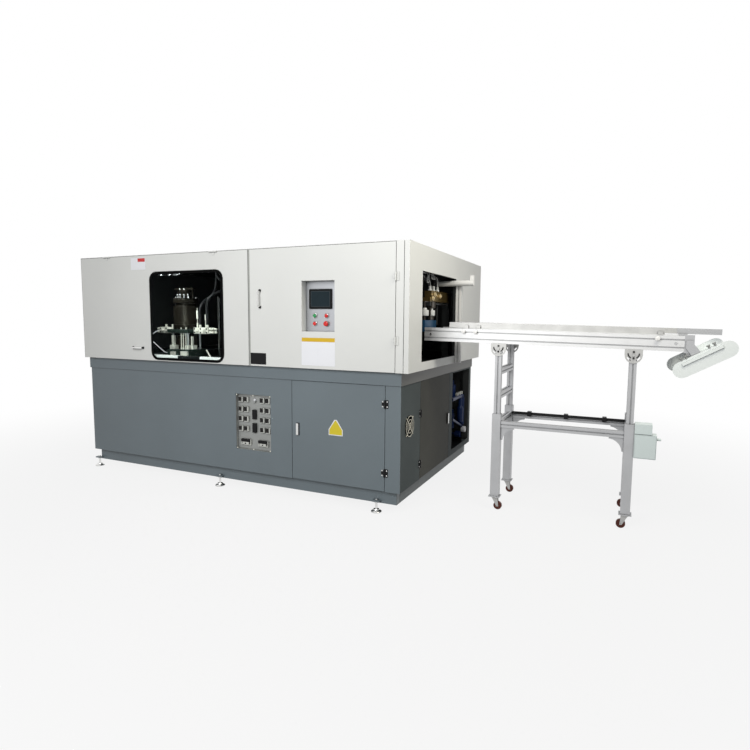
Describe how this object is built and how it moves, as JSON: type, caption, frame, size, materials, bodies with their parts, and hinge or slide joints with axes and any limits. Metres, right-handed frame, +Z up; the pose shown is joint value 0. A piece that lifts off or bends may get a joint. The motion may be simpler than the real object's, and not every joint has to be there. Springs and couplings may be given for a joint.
{
  "type": "stretch blow moulding machine",
  "caption": "Sheet-metal cabinet on a dark steel base with a windowed lifting guard, operator panel, service doors and a belt conveyor on castors reaching in through the side.",
  "frame": {"origin": "underside of the base's front right levelling foot, on the floor", "axes": "+X right along the front towards the conveyor, +Y from the front to the back, +Z up"},
  "size_m": [5.2254, 2.014, 1.95],
  "materials": {
    "cabinet_paint": "satin",
    "base_paint": "satin",
    "machine_plate": "milled",
    "station_steel": "machined",
    "seal_rubber": "matt",
    "window_pane": "clear",
    "operator_panel": "brushed",
    "screen_housing": "matt",
    "green_button": "gloss",
    "red_button": "gloss",
    "black_fittings": "matt",
    "socket_grey": "satin",
    "socket_plastic": "matt",
    "latch_chrome": "bright",
    "fan_wire": "bright",
    "fan_plastic": "matt",
    "air_blue": "gloss",
    "unit_gold": "satin",
    "unit_white": "satin",
    "section_aluminium": "anodised",
    "conveyor_zinc": "zinc",
    "belt_grey": "matt",
    "roller_steel": "ground",
    "black_tube": "matt",
    "wheel_rubber": "matt",
    "control_plastic": "matt"
  },
  "bodies": {
    "machine": {"cabinet_frame": "cabinet_paint", "cabinet_panels": "cabinet_paint", "cabinet_right": "cabinet_paint", "base_frame": "base_paint", "base_front": "base_paint", "base_right": "base_paint", "base_back": "base_paint", "base_table": "machine_plate", "ground_shafts": "machine_plate", "levelling_feet": "machine_plate", "inner_brackets": "machine_plate", "oven": "machine_plate", "blow_cylinder": "station_steel", "base_fittings": "black_fittings", "power_units": "black_fittings", "socket_panel": "socket_grey", "sockets": "socket_plastic", "fan_guard": "fan_wire", "air_system": "air_blue", "take_out_stand": "unit_gold", "conveyor_rails": "section_aluminium", "stand_frame": "section_aluminium", "lower_legs": "section_aluminium", "sensor_post": "section_aluminium", "conveyor_fittings": "conveyor_zinc", "conveyor_belt": "belt_grey", "tie_tube": "black_tube", "control_box": "control_plastic"},
    "guard": {"guard_door": "cabinet_paint", "guard_seal": "seal_rubber", "guard_window": "window_pane"},
    "operator_door": {"right_door": "cabinet_paint", "operator_plate": "operator_panel", "touch_screen": "screen_housing"},
    "start_button": {"button_start": "green_button"},
    "stop_button": {"button_stop": "red_button"},
    "reset_button": {"button_reset": "red_button"},
    "stop_mushroom": {"emergency_stop": "red_button"},
    "electrical_door": {"power_door": "base_paint", "power_door_fittings": "black_fittings"},
    "electrical_latch": {"power_latch": "latch_chrome"},
    "service_door": {"side_door": "base_paint", "side_door_fittings": "black_fittings"},
    "service_latch": {"side_latch": "latch_chrome"},
    "side_fan": {"fan_rotor": "fan_plastic"},
    "drum_inner": {"roller_inner": "roller_steel"},
    "drum_outer": {"roller_outer": "roller_steel"},
    "mould_half_left": {"mould_left": "machine_plate"},
    "mould_half_right": {"mould_right": "machine_plate"},
    "stretch_unit": {"stretch_carriage": "machine_plate"},
    "take_out_slide_unit": {"take_out_carriage": "unit_white"},
    "tilting_deck": {"end_deck": "section_aluminium"},
    "castor_1": {"castor_1_fork": "conveyor_zinc"},
    "castor_wheel_1": {"castor_1_wheel": "wheel_rubber"},
    "castor_2": {"castor_2_fork": "conveyor_zinc"},
    "castor_wheel_2": {"castor_2_wheel": "wheel_rubber"},
    "castor_3": {"castor_3_fork": "conveyor_zinc"},
    "castor_wheel_3": {"castor_3_wheel": "wheel_rubber"},
    "castor_4": {"castor_4_fork": "conveyor_zinc"},
    "castor_wheel_4": {"castor_4_wheel": "wheel_rubber"}
  },
  "joints": [
    {"name": "guard_lift", "type": "hinge", "parent": "machine", "child": "guard", "pos_m": [-2.035, -0.0665, 1.944], "axis": [-1, 0, 0], "range_deg": [0, 85]},
    {"name": "operator_door_hinge", "type": "hinge", "parent": "machine", "child": "operator_door", "pos_m": [0.16, -0.0665, 1.492], "axis": [0, 0, 1], "range_deg": [0, 110]},
    {"name": "start_push", "type": "slide", "parent": "operator_door", "child": "start_button", "axis": [0, 1, 0], "range_m": [0, 0.004], "stiffness_N_per_m": 600},
    {"name": "stop_push", "type": "slide", "parent": "operator_door", "child": "stop_button", "axis": [0, 1, 0], "range_m": [0, 0.004], "stiffness_N_per_m": 600},
    {"name": "reset_push", "type": "slide", "parent": "operator_door", "child": "reset_button", "axis": [0, 1, 0], "range_m": [0, 0.004], "stiffness_N_per_m": 600},
    {"name": "mushroom_push", "type": "slide", "parent": "operator_door", "child": "stop_mushroom", "axis": [0, 1, 0], "range_m": [0, 0.004], "stiffness_N_per_m": 600},
    {"name": "electrical_door_hinge", "type": "hinge", "parent": "machine", "child": "electrical_door", "pos_m": [0.072, -0.0285, 0.555], "axis": [0, 0, 1], "range_deg": [0, 110]},
    {"name": "electrical_latch_turn", "type": "hinge", "parent": "electrical_door", "child": "electrical_latch", "pos_m": [-0.663, -0.022, 0.594], "axis": [0, -1, 0], "range_deg": [0, 90]},
    {"name": "service_door_hinge", "type": "hinge", "parent": "machine", "child": "service_door", "pos_m": [0.1985, 0.388, 0.555], "axis": [0, 0, -1], "range_deg": [0, 40]},
    {"name": "service_latch_turn", "type": "hinge", "parent": "service_door", "child": "service_latch", "pos_m": [0.192, 1.1, 0.567], "axis": [1, 0, 0], "range_deg": [0, 90]},
    {"name": "fan_spin", "type": "hinge", "parent": "machine", "child": "side_fan", "pos_m": [0.172, 0.145, 0.632], "axis": [1, 0, 0], "continuous": true},
    {"name": "drum_inner_spin", "type": "hinge", "parent": "machine", "child": "drum_inner", "pos_m": [0.24799, 0.6835, 1.30408], "axis": [0, 1, 0], "continuous": true},
    {"name": "drum_outer_spin", "type": "hinge", "parent": "machine", "child": "drum_outer", "pos_m": [1.90668, 0.6835, 1.27223], "axis": [0, 1, 0], "continuous": true},
    {"name": "mould_right_open", "type": "slide", "parent": "machine", "child": "mould_half_right", "axis": [1, 0, 0], "range_m": [0, 0.03]},
    {"name": "mould_left_open", "type": "slide", "parent": "machine", "child": "mould_half_left", "axis": [-1, 0, 0], "range_m": [0, 0.03]},
    {"name": "stretch_lift", "type": "slide", "parent": "machine", "child": "stretch_unit", "axis": [0, 0, 1], "range_m": [0, 0.09]},
    {"name": "take_out_travel", "type": "slide", "parent": "machine", "child": "take_out_slide_unit", "axis": [0, 1, 0], "range_m": [0, 0.16]},
    {"name": "deck_tilt", "type": "hinge", "parent": "machine", "child": "tilting_deck", "pos_m": [2.042, 0.6835, 1.186], "axis": [0, 1, 0], "range_deg": [-15, 25]},
    {"name": "castor_1_swivel", "type": "hinge", "parent": "machine", "child": "castor_1", "pos_m": [0.773, 0.452, 0.098], "axis": [0, 0, 1], "continuous": true},
    {"name": "castor_1_roll", "type": "hinge", "parent": "castor_1", "child": "castor_wheel_1", "pos_m": [0.797, 0.452, 0.03], "axis": [0, 1, 0], "continuous": true},
    {"name": "castor_2_swivel", "type": "hinge", "parent": "machine", "child": "castor_2", "pos_m": [0.773, 0.915, 0.098], "axis": [0, 0, 1], "continuous": true},
    {"name": "castor_2_roll", "type": "hinge", "parent": "castor_2", "child": "castor_wheel_2", "pos_m": [0.797, 0.915, 0.03], "axis": [0, 1, 0], "continuous": true},
    {"name": "castor_3_swivel", "type": "hinge", "parent": "machine", "child": "castor_3", "pos_m": [1.665, 0.452, 0.098], "axis": [0, 0, 1], "continuous": true},
    {"name": "castor_3_roll", "type": "hinge", "parent": "castor_3", "child": "castor_wheel_3", "pos_m": [1.641, 0.452, 0.03], "axis": [0, 1, 0], "continuous": true},
    {"name": "castor_4_swivel", "type": "hinge", "parent": "machine", "child": "castor_4", "pos_m": [1.665, 0.915, 0.098], "axis": [0, 0, 1], "continuous": true},
    {"name": "castor_4_roll", "type": "hinge", "parent": "castor_4", "child": "castor_wheel_4", "pos_m": [1.641, 0.915, 0.03], "axis": [0, 1, 0], "continuous": true}
  ],
  "couplings": [
    {"joint": "mould_left_open", "follows": "mould_right_open", "ratio": 1},
    {"joint": "drum_outer_spin", "follows": "drum_inner_spin", "ratio": 1}
  ]
}
